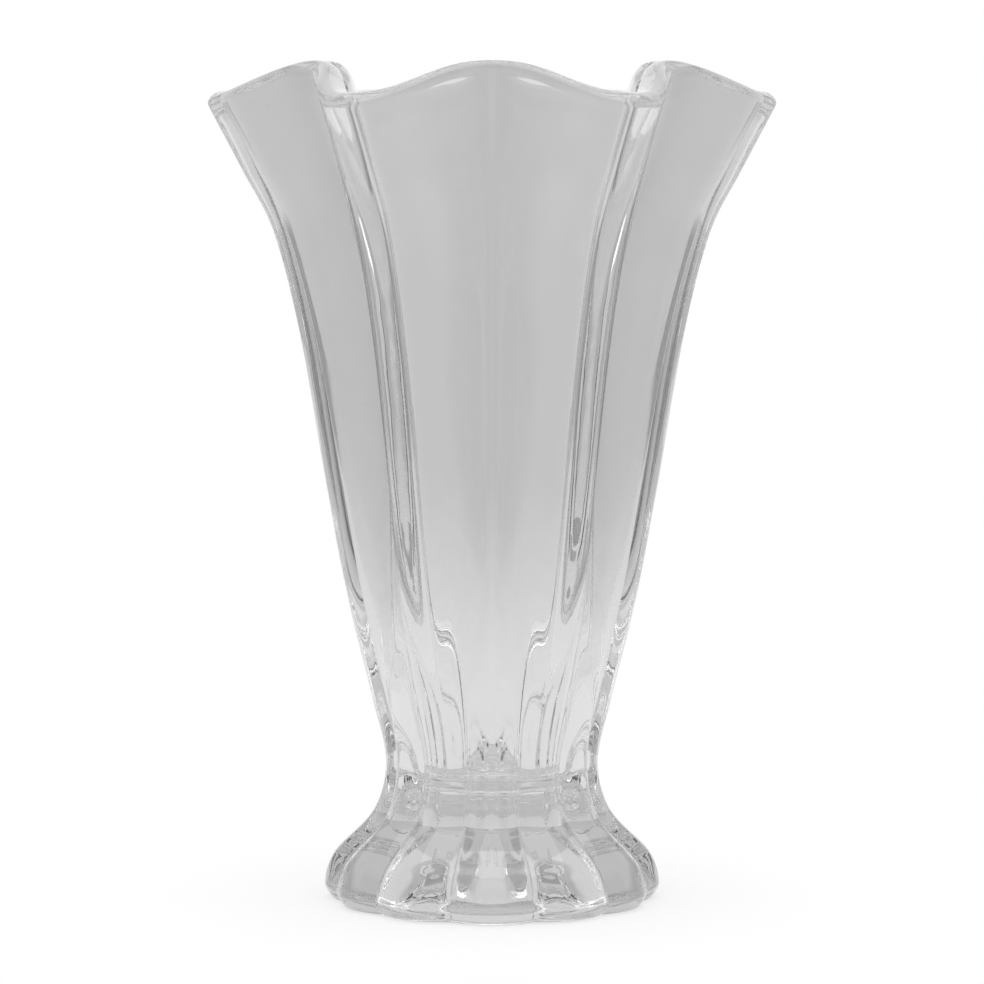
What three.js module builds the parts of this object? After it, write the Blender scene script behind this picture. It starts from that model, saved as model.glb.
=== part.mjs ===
// Footed tulip vase in clear pressed glass: a six-ribbed flared bowl joined hot to a solid scalloped foot.
// Millimetres, +Z up. The origin is the centre of the plane that the foot stands on.
// Azimuth 0 faces the front (-Y) and is the middle of a panel, so two of the six ribs lie on the X axis.

import * as THREE from 'three';

// Levels up the glass, each given as its rise above the level below
const footEdgeHeight = 4.5;
const footSlopeRise = 9;
const jointRise = 12.5;
const waistRise = 15;
const hipRise = 20;
const lowerBodyRise = 30;
const middleBodyRise = 36;
const upperBodyRise = 42;
const flareRise = 30;
const ribCurlRise = 18;
const ribTipRise = 19.4;
const panelCurlRise = 24;
const panelTopRise = 23.6;

// Outer radii at those levels, along a rib and along the middle of a panel
const standingRadius = 48.4;
const footEdgeRadius = 50.5;
const footSlopeRadius = 47.4;
const jointRadius = 35.8;
const waistRadius = 32.1;
const hipRibRadius = 36.4;
const hipPanelRadius = 33.6;
const lowerBodyRibRadius = 43.6;
const lowerBodyPanelRadius = 34;
const middleBodyRibRadius = 50.2;
const middleBodyPanelRadius = 34.4;
const upperBodyRibRadius = 57.4;
const upperBodyPanelRadius = 38.8;
const flareRibRadius = 65;
const flarePanelRadius = 45.6;
const curlRibRadius = 74;
const curlPanelRadius = 52.6;
const rimRibRadius = 84.2;
const rimPanelRadius = 61.2;

// Glass thickness
const ribWall = 7.4;
const panelWall = 4.8;
const waistWall = 8;
const floorThickness = 5;
const lipRise = 2.6;

// Cavity floor and underside
const floorCornerRadius = 21;
const standingRingWidth = 6;
const kickHeight = 6;

// Grooves between the twelve scallops of the foot, shallow at the standing edge and fading out up the body
const grooveDepth = 4.2;
const standingGrooveDepth = 2.4;
const grooveFadeRise = 84;

// Pattern of the plan
const ribCount = 6;
const scallopCount = 12;
const outerSharpness = { body: 1.7, rim: 2.6 };
const innerSharpness = { body: 1, rim: 1.4 };
const creaseSoftness = 0.08;
const archSoftness = 0.29;
const archEasing = 0.5;
const grooveSoftness = 0.15;

// Facets
const segments = 120;
const ribCrowding = 0.5;
const outerSteps = 16;
const innerSteps = 12;
const lipSteps = 5;
const cornerSteps = 5;
const footSteps = 8;
const kickSteps = 5;
const slopeStep = 0.2;

const jointHeight = footEdgeHeight + footSlopeRise + jointRise;
const floorHeight = jointHeight + floorThickness;

// Turns a list of rises into heights above the standing plane
function stack(rises) {
  let height = 0;
  return rises.map((rise) => (height += rise));
}

const commonRises = [
  0, footEdgeHeight, footSlopeRise, jointRise, waistRise, hipRise,
  lowerBodyRise, middleBodyRise, upperBodyRise, flareRise,
];
const ribHeights = stack([...commonRises, ribCurlRise, ribTipRise]);
const panelHeights = stack([...commonRises, panelCurlRise, panelTopRise]);

const footRadii = [standingRadius, footEdgeRadius, footSlopeRadius, jointRadius, waistRadius];
const ribRadii = [
  ...footRadii, hipRibRadius, lowerBodyRibRadius, middleBodyRibRadius,
  upperBodyRibRadius, flareRibRadius, curlRibRadius, rimRibRadius,
];
const panelRadii = [
  ...footRadii, hipPanelRadius, lowerBodyPanelRadius, middleBodyPanelRadius,
  upperBodyPanelRadius, flarePanelRadius, curlPanelRadius, rimPanelRadius,
];
const jointLevel = 3;
const waistLevel = 4;
const upperBodyLevel = 8;
const rimLevel = ribRadii.length - 1;

// A smooth profile through one radius for each level
function profile(radii, heights) {
  return new THREE.SplineCurve(radii.map((radius, i) => new THREE.Vector2(radius, heights[i])));
}

// The inner profile lies the wall's thickness inside the outer one, square to it, thicker at the waist
function innerProfile(outer, wall) {
  return new THREE.SplineCurve(outer.points.map((point, level) => {
    const along = outer.getTangent(level / rimLevel);
    const inward = new THREE.Vector2(-along.y, along.x);
    return point.clone().addScaledVector(inward, level > waistLevel ? wall : waistWall);
  }));
}

const outerRib = profile(ribRadii, ribHeights);
const outerPanel = profile(panelRadii, panelHeights);
const innerRib = innerProfile(outerRib, ribWall);
const innerPanel = innerProfile(outerPanel, panelWall);

// A cosine bridge that is 1 on a crest and comes to a softened cusp at 0 between crests
function softCusp(angle, softness) {
  const bridge = Math.hypot(Math.cos(angle), softness) - softness;
  return bridge / (Math.hypot(1, softness) - softness);
}

// Rib shares at an azimuth are 0 in the middle of a panel and 1 on a rib: round ribs outside, creases inside
function roundRib(azimuth) {
  return Math.abs(Math.sin(azimuth * ribCount / 2));
}

function creasedRib(azimuth) {
  return 1 - softCusp(azimuth * ribCount / 2, creaseSoftness);
}

// Ribs narrow from the body to the rim
function ribPower(level, sharpness) {
  const flare = THREE.MathUtils.smoothstep(level, upperBodyLevel, rimLevel);
  return THREE.MathUtils.lerp(sharpness.body, sharpness.rim, flare);
}

// Rise of the rim's arch at an azimuth: 1 in the middle of a panel, 0 at a rib's tip, half eased into both
function archShare(azimuth) {
  const bridge = softCusp(azimuth * ribCount / 2, archSoftness);
  return THREE.MathUtils.lerp(bridge, THREE.MathUtils.smoothstep(bridge, 0, 1), archEasing);
}

// Radius and height on the wall at a level, blended between the rib and panel profiles
function wallPoint(rib, panel, level, azimuth, ribShare) {
  const onRib = rib.getPoint(level / rimLevel);
  const onPanel = panel.getPoint(level / rimLevel);
  const radius = THREE.MathUtils.lerp(onPanel.x, onRib.x, ribShare);
  const height = THREE.MathUtils.lerp(onRib.y, onPanel.y, archShare(azimuth));
  return new THREE.Vector2(radius, height);
}

// Depth of the grooves at a height, deepest where foot and bowl meet
function grooveDepthAt(height) {
  const below = THREE.MathUtils.smoothstep(height, 0, jointHeight);
  const above = THREE.MathUtils.smoothstep(height, jointHeight, jointHeight + grooveFadeRise);
  return THREE.MathUtils.lerp(standingGrooveDepth, grooveDepth, below) * (1 - above);
}

function outerPoint(level, azimuth) {
  const ribShare = roundRib(azimuth) ** ribPower(level, outerSharpness);
  const point = wallPoint(outerRib, outerPanel, level, azimuth, ribShare);
  point.x -= grooveDepthAt(point.y) * (1 - softCusp(azimuth * scallopCount / 2, grooveSoftness));
  return point;
}

function innerPoint(level, azimuth) {
  const ribShare = creasedRib(azimuth) ** ribPower(level, innerSharpness);
  return wallPoint(innerRib, innerPanel, level, azimuth, ribShare);
}

// Azimuths round the vase, closer together on the tight curves of the ribs
const azimuths = Array.from({ length: segments }, (_, i) => {
  const even = i / segments * 2 * Math.PI;
  return even + ribCrowding / ribCount * Math.sin(even * ribCount);
});

// A ring of points round the axis, from a function that gives radius and height at an azimuth
function ring(pointAt) {
  return azimuths.map((azimuth) => {
    const point = pointAt(azimuth);
    return new THREE.Vector3(point.x * Math.sin(azimuth), -point.x * Math.cos(azimuth), point.y);
  });
}

// Evenly spaced numbers from start to end, both included
function spread(start, end, steps) {
  return Array.from({ length: steps + 1 }, (_, i) => start + (end - start) * i / steps);
}

// A closed skin over the rings, with a point on the axis closing each end
function skin(firstPole, rings, lastPole) {
  const points = [firstPole, ...rings.flat(), lastPole];
  const triangles = [];
  const at = (row, column) => 1 + row * segments + column % segments;
  for (let column = 0; column < segments; column += 1) {
    triangles.push(0, at(0, column + 1), at(0, column));
    for (let row = 0; row + 1 < rings.length; row += 1) {
      triangles.push(at(row, column), at(row, column + 1), at(row + 1, column + 1));
      triangles.push(at(row, column), at(row + 1, column + 1), at(row + 1, column));
    }
    triangles.push(points.length - 1, at(rings.length - 1, column), at(rings.length - 1, column + 1));
  }
  const geometry = new THREE.BufferGeometry().setFromPoints(points);
  geometry.setIndex(triangles);
  geometry.computeVertexNormals();
  return geometry;
}

// The flat ring where bowl and foot meet
function jointPoint(azimuth) {
  return new THREE.Vector2(outerPoint(jointLevel, azimuth).x, jointHeight);
}

// The lip is half an ellipse from the outer skin over to the inner one, rising along the wall's slope
function lipPoint(turn, azimuth) {
  const outer = outerPoint(rimLevel, azimuth);
  const inner = innerPoint(rimLevel, azimuth);
  const slope = outer.clone().sub(outerPoint(rimLevel - slopeStep, azimuth)).normalize();
  const middle = outer.clone().add(inner).multiplyScalar(0.5);
  const across = outer.clone().sub(middle).multiplyScalar(Math.cos(turn));
  return middle.add(across).addScaledVector(slope, lipRise * Math.sin(turn));
}

// The cavity's corner is a quarter ellipse from the waist down to the floor
function cornerPoint(turn, azimuth) {
  const waist = innerPoint(waistLevel, azimuth);
  return new THREE.Vector2(
    waist.x - floorCornerRadius * (1 - Math.cos(turn)),
    waist.y - (waist.y - floorHeight) * Math.sin(turn),
  );
}

function bowlGeometry() {
  const outside = spread(jointLevel, rimLevel, outerSteps).slice(1);
  const lip = spread(0, Math.PI, lipSteps).slice(1, -1);
  const inside = spread(rimLevel, waistLevel, innerSteps);
  const corner = spread(0, Math.PI / 2, cornerSteps).slice(1);
  return skin(
    new THREE.Vector3(0, 0, jointHeight),
    [
      ring(jointPoint),
      ...outside.map((level) => ring((azimuth) => outerPoint(level, azimuth))),
      ...lip.map((turn) => ring((azimuth) => lipPoint(turn, azimuth))),
      ...inside.map((level) => ring((azimuth) => innerPoint(level, azimuth))),
      ...corner.map((turn) => ring((azimuth) => cornerPoint(turn, azimuth))),
    ],
    new THREE.Vector3(0, 0, floorHeight),
  );
}

// The underside rises from the standing ring to a domed kick in the middle
function kickPoint(turn) {
  const ringInside = standingRadius - standingRingWidth;
  return new THREE.Vector2(ringInside * Math.cos(turn), kickHeight * Math.sin(turn));
}

function footGeometry() {
  const kick = spread(0, Math.PI / 2, kickSteps + 1).slice(0, -1).reverse();
  const outside = spread(0, jointLevel, footSteps).slice(0, -1);
  return skin(
    new THREE.Vector3(0, 0, kickHeight),
    [
      ...kick.map((turn) => ring(() => kickPoint(turn))),
      ...outside.map((level) => ring((azimuth) => outerPoint(level, azimuth))),
      ring(jointPoint),
    ],
    new THREE.Vector3(0, 0, jointHeight),
  );
}

const clearGlass = { color: 0xdfe2e1, roughness: 0.05, metalness: 0, transparent: true, opacity: 0.35 };

function piece(name, geometry) {
  const mesh = new THREE.Mesh(geometry, new THREE.MeshStandardMaterial(clearGlass));
  mesh.name = name;
  return mesh;
}

const vase = new THREE.Group();
vase.add(piece('bowl', bowlGeometry()));
vase.add(piece('foot', footGeometry()));

export default vase;
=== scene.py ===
import math

import bpy
import numpy as np
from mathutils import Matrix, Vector


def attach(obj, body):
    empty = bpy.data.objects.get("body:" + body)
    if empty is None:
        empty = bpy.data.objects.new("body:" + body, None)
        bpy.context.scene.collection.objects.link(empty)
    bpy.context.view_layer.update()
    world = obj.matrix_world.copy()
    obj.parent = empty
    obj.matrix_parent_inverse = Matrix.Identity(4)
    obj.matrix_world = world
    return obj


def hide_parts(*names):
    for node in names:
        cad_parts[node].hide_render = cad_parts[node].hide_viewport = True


# Footed tulip vase in clear pressed glass, standing on a white studio floor
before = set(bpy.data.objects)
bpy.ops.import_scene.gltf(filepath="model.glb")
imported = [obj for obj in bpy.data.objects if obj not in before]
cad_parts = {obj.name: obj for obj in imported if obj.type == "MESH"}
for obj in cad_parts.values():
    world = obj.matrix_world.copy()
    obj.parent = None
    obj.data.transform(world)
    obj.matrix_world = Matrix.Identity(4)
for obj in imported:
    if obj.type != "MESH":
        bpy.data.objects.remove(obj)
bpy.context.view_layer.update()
scene = bpy.context.scene
mm = 0.001


def toLinear(hexColour):
    channels = np.array([int(hexColour[k:k + 2], 16) for k in (0, 2, 4)]) / 255
    linear = np.where(channels <= 0.04045, channels / 12.92, ((channels + 0.055) / 1.055) ** 2.4)
    return (*linear.tolist(), 1.0)


def addNode(tree, kind, values=None, links=None, **settings):
    node = tree.nodes.new(kind)
    for key, value in settings.items():
        setattr(node, key, value)
    for socket, value in (values or {}).items():
        node.inputs[socket].default_value = value
    for socket, source in (links or {}).items():
        tree.links.new(source, node.inputs[socket])
    return node


def newTree(block):
    block.use_nodes = True
    block.node_tree.nodes.clear()
    return block.node_tree


# Shape of the glass in mm: twelve levels from the standing plane to the rim,
# along a rib and along the middle of a panel
glass = {
    "ribHeights": [0, 4.5, 13.5, 26, 41, 61, 91, 127, 169, 199, 217, 236.4],
    "panelHeights": [0, 4.5, 13.5, 26, 41, 61, 91, 127, 169, 199, 223, 246.6],
    "ribRadii": [48.4, 50.5, 47.4, 35.8, 32.1, 36.4, 43.6, 50.2, 57.4, 65, 74, 84.2],
    "panelRadii": [48.4, 50.5, 47.4, 35.8, 32.1, 33.6, 34, 34.4, 38.8, 45.6, 52.6, 61.2],
    "ribWall": 7.4, "panelWall": 4.8, "waistWall": 8,
    "jointLevel": 3, "waistLevel": 4, "upperLevel": 8, "rimLevel": 11,
    "ribs": 6, "scallops": 12,
    "outerPower": (1.7, 2.6), "innerPower": (1.0, 1.4),  # how narrow the ribs are, on the body and at the rim
    "panelEase": 0.2, "creaseEase": 0.08, "archEase": 0.29, "archRound": 0.5,
    "grooveDepth": (2.4, 4.2), "grooveFade": 84,  # depths at the standing edge and at the joint
    "grooveEase": (0.09, 0.6),  # on the foot and where the grooves end
    "polish": 0.25,  # lost from the outside in fire polishing
    "columns": 540, "crowding": 0.12,  # columns stand closer together on the ribs
    "slopeStep": 0.001,  # part of a level, over which a profile's slope is taken
    "sharpAngle": 40,  # degrees
}
even = np.arange(glass["columns"]) * 2 * math.pi / glass["columns"]
azimuth = even + glass["crowding"] * np.sin(even * glass["ribs"])


def blend(a, b, share):
    return a + (b - a) * share


def smoothStep(x, low, high):
    t = np.clip((x - low) / (high - low), 0, 1)
    return t * t * (3 - 2 * t)


def alongLevels(values, level):
    # smooth curve through one value for each level, with the end values doubled
    v = np.array([values[0], *values, values[-1]], float)
    k = np.clip(np.floor(level).astype(int), 0, len(values) - 2)
    t = level - k
    a, b, c, d = v[k], v[k + 1], v[k + 2], v[k + 3]
    return b + t * ((c - a) / 2 + t * (a - 2.5 * b + 2 * c - d / 2 + t * (1.5 * (b - c) + (d - a) / 2)))


def insetProfile(radii, heights, wall):
    # each level moved square to the profile by the wall's thickness, thicker at the waist and below
    level = np.arange(len(radii), dtype=float)
    near = np.clip(level - glass["slopeStep"], 0, glass["rimLevel"])
    far = np.clip(level + glass["slopeStep"], 0, glass["rimLevel"])
    outward = alongLevels(radii, far) - alongLevels(radii, near)
    upward = alongLevels(heights, far) - alongLevels(heights, near)
    thick = np.where(level > glass["waistLevel"], wall, glass["waistWall"]) / np.hypot(outward, upward)
    return np.array(radii) - upward * thick, np.array(heights) + outward * thick


outerRib = (glass["ribRadii"], glass["ribHeights"])
outerPanel = (glass["panelRadii"], glass["panelHeights"])
innerRib = insetProfile(*outerRib, glass["ribWall"])
innerPanel = insetProfile(*outerPanel, glass["panelWall"])
jointHeight = glass["ribHeights"][glass["jointLevel"]]


def softCusp(angle, ease):
    # cosine bridge, 1 on each crest, with a cusp at 0 between crests that is softened by the ease
    return (np.hypot(np.cos(angle), ease) - ease) / (np.hypot(1, ease) - ease)


def roundShare(around, power):
    # outside: a rounded power of the sine of three azimuths
    ease = glass["panelEase"]
    sine = np.hypot(np.sin(around * glass["ribs"] / 2), ease)
    return (sine ** power - ease ** power) / (math.hypot(1, ease) ** power - ease ** power)


def creasedShare(around, power):
    # inside: what a cosine bridge over each panel leaves, so that the ribs are creases
    return (1 - softCusp(around * glass["ribs"] / 2, glass["creaseEase"])) ** power


def wallGrid(ribCurve, panelCurve, level, share, powers):
    # radius runs from the panel's to the rib's by the rib share, raised to a power that grows to the rim,
    # height from the rib's to the panel's by a cosine bridge over each panel, partly rounded at both ends
    level, around = np.meshgrid(level, azimuth, indexing="ij")
    power = blend(*powers, smoothStep(level, glass["upperLevel"], glass["rimLevel"]))
    radius = blend(alongLevels(panelCurve[0], level), alongLevels(ribCurve[0], level), share(around, power))
    bridge = softCusp(around * glass["ribs"] / 2, glass["archEase"])
    arch = blend(bridge, smoothStep(bridge, 0, 1), glass["archRound"])
    height = blend(alongLevels(ribCurve[1], level), alongLevels(panelCurve[1], level), arch)
    return radius, height


# Faint waves pressed into the skin, mostly long up the wall and short round it.
# Each has its count round the vase, its climb in mm for a radian, its share of the seed and its strength
ripples = {
    "waves": [(7, 31, 1, 1), (17, -23, 2.1, 1), (29, 17, 3.7, 1), (5, 6, 1, 0.6)],
    "depth": 0.03, "outerSeed": 1, "innerSeed": 4,
}


def ripple(radius, height, seed):
    # sines of the azimuth times the count plus the height over the climb, added up and always inward
    waves = sum(strength * np.sin(count * azimuth + height / climb + shift * seed)
                for count, climb, shift, strength in ripples["waves"])
    most = sum(wave[-1] for wave in ripples["waves"])
    return radius - ripples["depth"] * (1 + waves / most)


def outerGrid(level):
    # the outer wall less its grooves, a depth times what a cosine bridge over each scallop leaves;
    # they fade out up the body, and their sharp bottoms soften on the way
    radius, height = wallGrid(outerRib, outerPanel, level, roundShare, glass["outerPower"])
    depth = blend(*glass["grooveDepth"], smoothStep(height, 0, jointHeight))
    fade = smoothStep(height, jointHeight, jointHeight + glass["grooveFade"])
    ease = blend(*glass["grooveEase"], fade)
    radius = radius - depth * (1 - fade) * (1 - softCusp(azimuth * glass["scallops"] / 2, ease))
    return ripple(radius, height, ripples["outerSeed"]) - glass["polish"], height


def innerGrid(level):
    # the inner wall, with creased ribs
    radius, height = wallGrid(innerRib, innerPanel, level, creasedShare, glass["innerPower"])
    return ripple(radius, height, ripples["innerSeed"]), height


def rings(*parts):
    # radius and height grids stacked into one grid of points round the axis, in metres
    radius = np.concatenate([part[0] for part in parts])
    height = np.concatenate([part[1] for part in parts])
    return np.stack([radius * np.sin(azimuth), -radius * np.cos(azimuth), height], axis=-1) * mm


def closedSkin(name, grid, firstPole, lastPole, bandSlots):
    # quads between neighbouring rings, and a fan of triangles to the point on the axis at each end
    rows, columns = grid.shape[:2]
    index = 1 + np.arange(rows * columns).reshape(rows, columns)
    turned = np.roll(index, -1, axis=1)
    quads = np.stack([index[:-1], turned[:-1], turned[1:], index[1:]], axis=-1).reshape(-1, 4)
    last = rows * columns + 1
    bottom = np.stack([np.zeros(columns, int), turned[0], index[0]], axis=-1)
    top = np.stack([np.full(columns, last), index[-1], turned[-1]], axis=-1)
    points = np.concatenate([[(0, 0, firstPole * mm)], grid.reshape(-1, 3), [(0, 0, lastPole * mm)]])
    mesh = bpy.data.meshes.new(name)
    mesh.from_pydata(points, [], bottom.tolist() + quads.tolist() + top.tolist())
    mesh.polygons.foreach_set("use_smooth", np.ones(len(mesh.polygons), bool))
    mesh.polygons.foreach_set("material_index", np.repeat(bandSlots, columns))
    mesh.set_sharp_from_angle(angle=math.radians(glass["sharpAngle"]))
    piece = bpy.data.objects.new(name, mesh)
    scene.collection.objects.link(piece)
    return piece


# Bowl: outer skin from the joint to the rim, half an ellipse over the lip, inner skin down to the waist,
# then a quarter ellipse round to the floor
bowl = {
    "lipRise": 2.4, "lipSlopeStep": 0.2,  # part of a level, over which the lip's lean is taken
    "floorHeight": 31, "cornerRadius": 21,
    "outerRows": 84, "lipRows": 12, "innerRows": 70, "cornerRows": 12,
    # painted shade: grey on the outside that darkens up the wall, and a lighter grey inside
    "outerPaintedShade": ("E0E0E0", "C4C4C4"), "innerPaintedShade": ("FAFAFA", "F4F4F4"), "paintedShadeHeights": (60, 130),
}


def lipGrid():
    # half an ellipse from the outer to the inner rim, which rises along the slope of the outer wall
    outer = np.stack(outerGrid(np.array([glass["rimLevel"]], float)))[:, 0]
    below = np.stack(outerGrid(np.array([glass["rimLevel"] - bowl["lipSlopeStep"]])))[:, 0]
    inner = np.stack(innerGrid(np.array([glass["rimLevel"]], float)))[:, 0]
    slope = (outer - below) / np.hypot(*(outer - below))
    turn = np.linspace(0, math.pi, bowl["lipRows"] + 2)[1:-1, None]
    middle = (outer + inner)[:, None] / 2
    half = (outer - inner)[:, None] / 2
    return middle + half * np.cos(turn) + slope[:, None] * bowl["lipRise"] * np.sin(turn)


def cornerGrid():
    # a quarter ellipse inward and down from the inner skin's last ring
    radius, height = innerGrid(np.array([glass["waistLevel"]], float))
    turn = np.linspace(0, math.pi / 2, bowl["cornerRows"] + 1)[1:, None]
    radius = radius - bowl["cornerRadius"] * (1 - np.cos(turn))
    height = height - (height - bowl["floorHeight"]) * np.sin(turn)
    return radius, height


outerLevels = np.linspace(glass["jointLevel"], glass["rimLevel"], bowl["outerRows"])
innerLevels = np.linspace(glass["rimLevel"], glass["waistLevel"], bowl["innerRows"])
bowlRings = rings(outerGrid(outerLevels), lipGrid(), innerGrid(innerLevels), cornerGrid())
# a material slot for each band of faces: 0 outside and over the lip, 1 at the hot joint, 2 inside
insideBands = bowl["innerRows"] + bowl["cornerRows"] + bowl["lipRows"] // 2
bowlSlots = [1] + [0] * (len(bowlRings) - insideBands) + [2] * insideBands
bowlPiece = closedSkin("pressed_bowl", bowlRings, jointHeight, bowl["floorHeight"], bowlSlots)
print("bowl made,", len(bowlPiece.data.polygons), "faces")

# Foot: domed kick under it, flat standing ring, rounded standing edge, then the scalloped slope to the joint
foot = {
    "ringWidth": 6, "kickHeight": 6,
    "edgeRadius": 1.4, "edgeLevel": 0.05,  # level at which the standing edge meets the slope
    "kickRows": 16, "edgeRows": 8, "outerRows": 60,
    # painted shade: the foot's grey, darker towards the joint
    "paintedShade": ("C2C2C2", "B0B0B0"), "paintedShadeHeights": (0, 30),
}


def footGrid():
    # a quarter ellipse down from the axis to the flat ring, another up to the slope, then the outer wall
    radius, height = outerGrid(np.linspace(foot["edgeLevel"], glass["jointLevel"], foot["outerRows"]))
    edge, edgeHeight = radius[:1], height[:1]
    turn = np.linspace(0, math.pi / 2, foot["edgeRows"] + 1)[:-1, None]
    standing = (edge - foot["edgeRadius"] * (1 - np.sin(turn)), edgeHeight * (1 - np.cos(turn)) + 0 * edge)
    inside = glass["ribRadii"][0] - foot["ringWidth"]
    rise = np.linspace(math.pi / 2, 0, foot["kickRows"] + 1)[1:, None]
    kick = (inside * np.cos(rise) + 0 * edge, foot["kickHeight"] * np.sin(rise) + 0 * edge)
    return rings(kick, standing, (radius, height))


footRings = footGrid()
footSlots = [0] * len(footRings) + [1]
footPiece = closedSkin("pressed_foot", footRings, foot["kickHeight"], jointHeight, footSlots)
print("foot made,", len(footPiece.data.polygons), "faces")

# Clear pressed glass, fire polished: it bends what is behind it, with a grey of painted shade for the dimmer
# studio seen through it that clouds a little from place to place, a faint haze of handling, and a skin that
# is never quite flat
finishAndPaintedShade = {
    "index": 1.52,
    "ribPaintedShade": 0.6,  # what a rib has of the painted shade that a panel gains up the wall
    "cloudSize": 25, "cloudDetail": 2, "cloudShift": 0.08,  # sizes and depth in mm
    "hazeSize": 7, "hazeDetail": 3, "hazeFrom": 0.35, "hazeTo": 0.75, "hazeRoughness": 0.012,
    "waveSize": 8, "waveDetail": 1, "waveDepth": 0.02,
}


def pressedGlass(name, paintedShades, heights):
    material = bpy.data.materials.new(name)
    tree = newTree(material)
    low, high = [toLinear(colour) for colour in paintedShades]
    lowHeight, highHeight = [height * mm for height in heights]
    place = addNode(tree, "ShaderNodeTexCoord").outputs["Object"]
    axes = addNode(tree, "ShaderNodeSeparateXYZ", links={0: place}).outputs
    # painted shade: the grey grows from the low to the high colour up the wall, most of all in the middle of
    # a panel
    rise = addNode(tree, "ShaderNodeMapRange", {"From Min": lowHeight, "From Max": highHeight},
                   {"Value": axes["Z"]}, interpolation_type="SMOOTHSTEP").outputs[0]
    turn = addNode(tree, "ShaderNodeMath", links={0: axes["X"], 1: axes["Y"]}, operation="ARCTAN2").outputs[0]
    turns = addNode(tree, "ShaderNodeMath", {1: glass["ribs"]}, {0: turn}, operation="MULTIPLY").outputs[0]
    wave = addNode(tree, "ShaderNodeMath", links={0: turns}, operation="COSINE").outputs[0]
    panel = addNode(tree, "ShaderNodeMapRange", {"From Min": -1.0, "To Min": finishAndPaintedShade["ribPaintedShade"]},
                    {"Value": wave}).outputs[0]
    paintedShadeGrowth = addNode(tree, "ShaderNodeMath", links={0: rise, 1: panel}, operation="MULTIPLY").outputs[0]
    # clouds shift it either way
    clouds = addNode(tree, "ShaderNodeTexNoise",
                     {"Scale": 1 / (finishAndPaintedShade["cloudSize"] * mm), "Detail": finishAndPaintedShade["cloudDetail"]},
                     {"Vector": place}).outputs[0]
    shift = addNode(tree, "ShaderNodeMapRange",
                    {"To Min": -finishAndPaintedShade["cloudShift"], "To Max": finishAndPaintedShade["cloudShift"]},
                    {"Value": clouds}).outputs[0]
    share = addNode(tree, "ShaderNodeMath", links={0: paintedShadeGrowth, 1: shift},
                    operation="ADD", use_clamp=True).outputs[0]
    paintedShade = addNode(tree, "ShaderNodeMix", {6: low, 7: high}, {0: share}, data_type="RGBA").outputs[2]
    haze = addNode(tree, "ShaderNodeTexNoise",
                   {"Scale": 1 / (finishAndPaintedShade["hazeSize"] * mm), "Detail": finishAndPaintedShade["hazeDetail"]},
                   {"Vector": place}).outputs[0]
    rough = addNode(tree, "ShaderNodeMapRange",
                    {"From Min": finishAndPaintedShade["hazeFrom"], "From Max": finishAndPaintedShade["hazeTo"],
                     "To Max": finishAndPaintedShade["hazeRoughness"]}, {"Value": haze}).outputs[0]
    waves = addNode(tree, "ShaderNodeTexNoise",
                    {"Scale": 1 / (finishAndPaintedShade["waveSize"] * mm), "Detail": finishAndPaintedShade["waveDetail"]},
                    {"Vector": place}).outputs[0]
    skin = addNode(tree, "ShaderNodeBump", {"Strength": 1.0, "Distance": finishAndPaintedShade["waveDepth"] * mm},
                   {"Height": waves}).outputs[0]
    shader = addNode(tree, "ShaderNodeBsdfPrincipled",
                     {"IOR": finishAndPaintedShade["index"], "Transmission Weight": 1.0},
                     {"Base Color": paintedShade, "Roughness": rough, "Normal": skin})
    addNode(tree, "ShaderNodeOutputMaterial", links={"Surface": shader.outputs[0]})
    return material


# The hot joint: the glass runs on from bowl to foot, so its faces show nothing at all
def clearJoint(name):
    material = bpy.data.materials.new(name)
    tree = newTree(material)
    through = addNode(tree, "ShaderNodeBsdfTransparent")
    addNode(tree, "ShaderNodeOutputMaterial", links={"Surface": through.outputs[0]})
    return material


joint = clearJoint("clear_hot_joint")
# copies of one glass with different painted shade: grey outside, darker on the foot, nearly clear inside
bowlSkins = [
    pressedGlass("pressed_glass_bowl_painted_shade", bowl["outerPaintedShade"], bowl["paintedShadeHeights"]),
    joint,
    pressedGlass("pressed_glass_inside_painted_shade", bowl["innerPaintedShade"], bowl["paintedShadeHeights"]),
]
footSkins = [pressedGlass("pressed_glass_foot_painted_shade", foot["paintedShade"], foot["paintedShadeHeights"]), joint]
for piece, node, slot, skins in (
    (bowlPiece, "bowl", "bowl_glass", bowlSkins),
    (footPiece, "foot", "foot_glass", footSkins),
):
    for material in skins:
        piece.data.materials.append(material)
    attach(piece, "root")
    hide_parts(node)
print("glass dressed")

# White floor that keeps a faint shadow near the vase and runs out to plain white.
# What the glass sees of it is a paper sweep about a metre wide, with greyer table on both sides
floor = {
    "radius": 1.6, "drop": 0.0003, "sides": 96, "colour": "F4F4F4",  # sizes in metres
    "fadeFrom": 0.05, "fadeTo": 0.13, "leastWhite": 0.7,
    "sweepFrom": 0.5, "sweepTo": 0.64, "tableLevel": 0.5,
}
turns = np.linspace(0, 2 * math.pi, floor["sides"], endpoint=False)
floorEdge = np.stack([np.cos(turns), np.sin(turns), 0 * turns], axis=-1) * floor["radius"]
floorMesh = bpy.data.meshes.new("studio_floor")
floorMesh.from_pydata(floorEdge - (0, 0, floor["drop"]), [], [list(range(len(floorEdge)))])
floorPiece = bpy.data.objects.new("studio_floor", floorMesh)
scene.collection.objects.link(floorPiece)


def seenRays(tree):
    # 1 for rays from the camera, and for those that glass mirrors or bends
    rays = addNode(tree, "ShaderNodeLightPath").outputs
    both = addNode(tree, "ShaderNodeMath", links={0: rays["Is Camera Ray"], 1: rays["Is Glossy Ray"]},
                   operation="ADD", use_clamp=True)
    return addNode(tree, "ShaderNodeMath", links={0: both.outputs[0], 1: rays["Is Transmission Ray"]},
                   operation="ADD", use_clamp=True).outputs[0]


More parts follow.
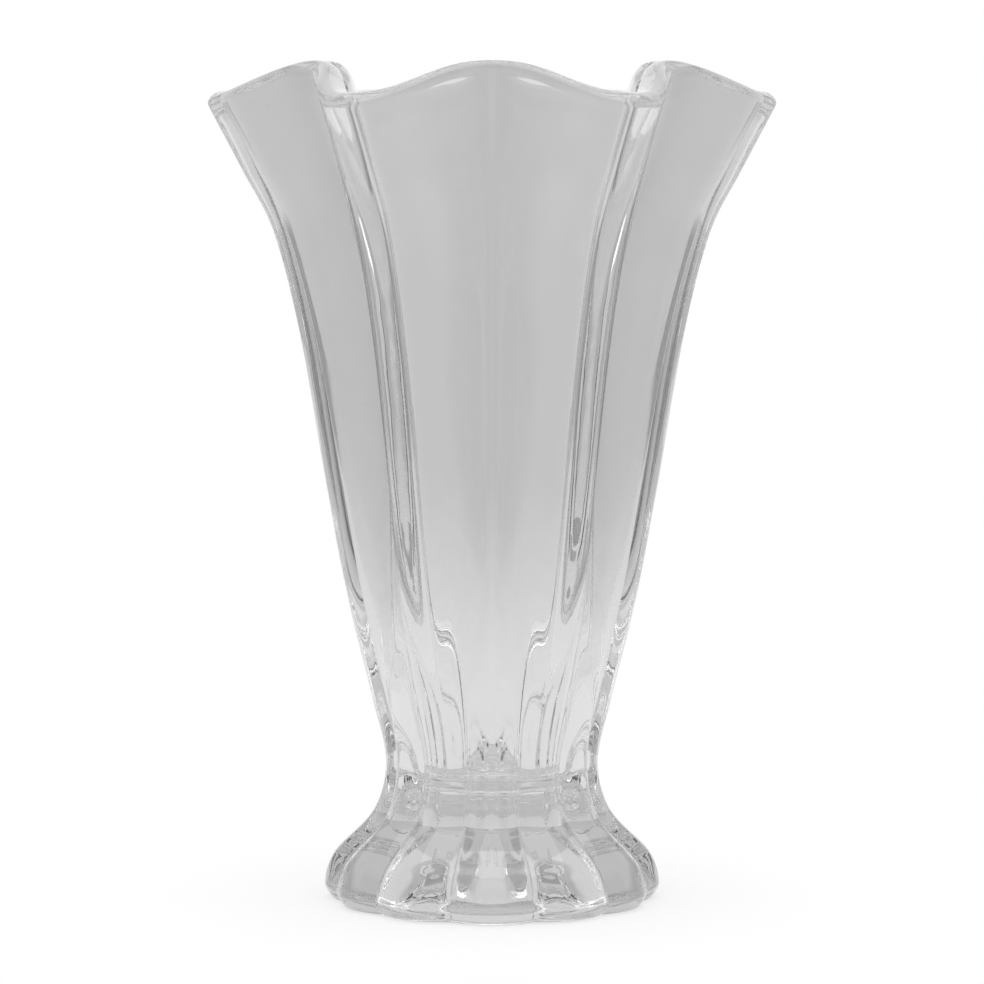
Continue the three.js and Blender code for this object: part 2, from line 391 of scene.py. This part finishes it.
# White matt floor: even white far off, its own lit and shaded white near the foot
floorMaterial = bpy.data.materials.new("white_matt_floor")
tree = newTree(floorMaterial)
place = addNode(tree, "ShaderNodeTexCoord").outputs["Object"]
away = addNode(tree, "ShaderNodeVectorMath", links={0: place}, operation="LENGTH").outputs["Value"]
fade = addNode(tree, "ShaderNodeMapRange",
               {"From Min": floor["fadeFrom"], "From Max": floor["fadeTo"], "To Min": floor["leastWhite"]},
               {"Value": away}, interpolation_type="SMOOTHSTEP").outputs[0]
share = addNode(tree, "ShaderNodeMath", links={0: fade, 1: seenRays(tree)}, operation="MULTIPLY").outputs[0]
across = addNode(tree, "ShaderNodeSeparateXYZ", links={0: place}).outputs["X"]
aside = addNode(tree, "ShaderNodeMath", links={0: across}, operation="ABSOLUTE").outputs[0]
sweep = addNode(tree, "ShaderNodeMapRange",
                {"From Min": floor["sweepFrom"], "From Max": floor["sweepTo"],
                 "To Min": 1.0, "To Max": floor["tableLevel"]}, {"Value": aside}).outputs[0]
straight = addNode(tree, "ShaderNodeLightPath").outputs["Is Camera Ray"]
level = addNode(tree, "ShaderNodeMath", links={0: sweep, 1: straight}, operation="MAXIMUM").outputs[0]
matt = addNode(tree, "ShaderNodeBsdfDiffuse", {"Color": toLinear(floor["colour"])})
white = addNode(tree, "ShaderNodeEmission", {"Color": (1, 1, 1, 1)}, {"Strength": level})
mixed = addNode(tree, "ShaderNodeMixShader", links={0: share, 1: matt.outputs[0], 2: white.outputs[0]})
addNode(tree, "ShaderNodeOutputMaterial", links={"Surface": mixed.outputs[0]})
floorMesh.materials.append(floorMaterial)
print("floor laid")

# Studio round it: plain white to the camera. The glass sees a white wall behind it with a greyer strip on
# each side, grey side walls, a dark gap on each side of the camera, and white overhead and underfoot.
# Each stop is a share of a full turn from the front, with its level, and is mirrored past the back.
# The dome and the low white are given by the upward part of the direction
studio = {
    "stops": [(0, 0.6), (0.1, 0.6), (0.14, 0.05), (0.21, 0.05), (0.245, 0.72), (0.295, 0.75),
              (0.33, 1), (0.36, 1), (0.375, 0.7), (0.43, 0.7), (0.445, 1)],
    "domeFrom": 0.5, "domeTo": 0.75, "lowFrom": -0.01, "lowTo": -0.05,
    "plainLevel": 0.95,  # what lights the floor
}
stops = studio["stops"] + [(1 - position, level) for position, level in reversed(studio["stops"])]
world = bpy.data.worlds.new("soft_studio")
scene.world = world
tree = newTree(world)
direction = addNode(tree, "ShaderNodeTexCoord").outputs["Generated"]
axes = addNode(tree, "ShaderNodeSeparateXYZ", links={0: direction}).outputs
turn = addNode(tree, "ShaderNodeMath", links={0: axes["X"], 1: axes["Y"]}, operation="ARCTAN2").outputs[0]
wayRound = addNode(tree, "ShaderNodeMapRange", {"From Min": -math.pi, "From Max": math.pi}, {"Value": turn})
ramp = addNode(tree, "ShaderNodeValToRGB", links={0: wayRound.outputs[0]})
for position, level in stops[1:-1]:
    ramp.color_ramp.elements.new(position)
for element, (position, level) in zip(ramp.color_ramp.elements, stops):
    element.position = position
    element.color = (level, level, level, 1)
above = addNode(tree, "ShaderNodeMapRange", {"From Min": studio["domeFrom"], "From Max": studio["domeTo"]},
                {"Value": axes["Z"]}).outputs[0]
below = addNode(tree, "ShaderNodeMapRange", {"From Min": studio["lowFrom"], "From Max": studio["lowTo"]},
                {"Value": axes["Z"]}).outputs[0]
ends = addNode(tree, "ShaderNodeMath", links={0: above, 1: below}, operation="MAXIMUM").outputs[0]
dome = addNode(tree, "ShaderNodeMix", {7: (1, 1, 1, 1)}, {0: ends, 6: ramp.outputs[0]}, data_type="RGBA")
straight = addNode(tree, "ShaderNodeLightPath").outputs["Is Camera Ray"]
picture = addNode(tree, "ShaderNodeMix", {7: (1, 1, 1, 1)}, {0: straight, 6: dome.outputs[2]},
                  data_type="RGBA")
plain = (studio["plainLevel"],) * 3 + (1,)
seen = addNode(tree, "ShaderNodeMix", {6: plain}, {0: seenRays(tree), 7: picture.outputs[2]},
               data_type="RGBA")
backdrop = addNode(tree, "ShaderNodeBackground", {"Strength": 1.0}, {"Color": seen.outputs[2]})
addNode(tree, "ShaderNodeOutputWorld", links={"Surface": backdrop.outputs[0]})

# One large softbox overhead, with its places and size in metres and its power in watts
softbox = {"place": Vector((0, -0.1, 1.3)), "aim": Vector((0, 0, 0.1)), "size": (1.2, 1.2), "power": 6}
lamp = bpy.data.lights.new("top_softbox", "AREA")
lamp.shape = "RECTANGLE"
lamp.size, lamp.size_y = softbox["size"]
lamp.energy = softbox["power"]
lampObject = bpy.data.objects.new("top_softbox", lamp)
lampObject.location = softbox["place"]
lampObject.rotation_mode = "QUATERNION"
lampObject.rotation_quaternion = (softbox["aim"] - softbox["place"]).to_track_quat("-Z", "Y")
scene.collection.objects.link(lampObject)
print("studio lit")

# Camera straight in front of a panel, in metres, with its lens in mm
camera = {"distance": 1.335, "height": 0.247, "aimHeight": 0.1217, "lens": 164.5}
cameraData = bpy.data.cameras.new("photo_camera")
cameraData.lens = camera["lens"]
cameraObject = bpy.data.objects.new("photo_camera", cameraData)
cameraObject.location = (0, -camera["distance"], camera["height"])
pitch = math.atan2(camera["height"] - camera["aimHeight"], camera["distance"])
cameraObject.rotation_euler = (math.pi / 2 - pitch, 0, 0)
scene.collection.objects.link(cameraObject)
scene.camera = cameraObject
scene.view_settings.view_transform = "Standard"
print("camera set")

# Light runs a long way inside thick glass
scene.cycles.max_bounces = 64
scene.cycles.transmission_bounces = 48
scene.cycles.glossy_bounces = 48
scene.cycles.transparent_max_bounces = 32
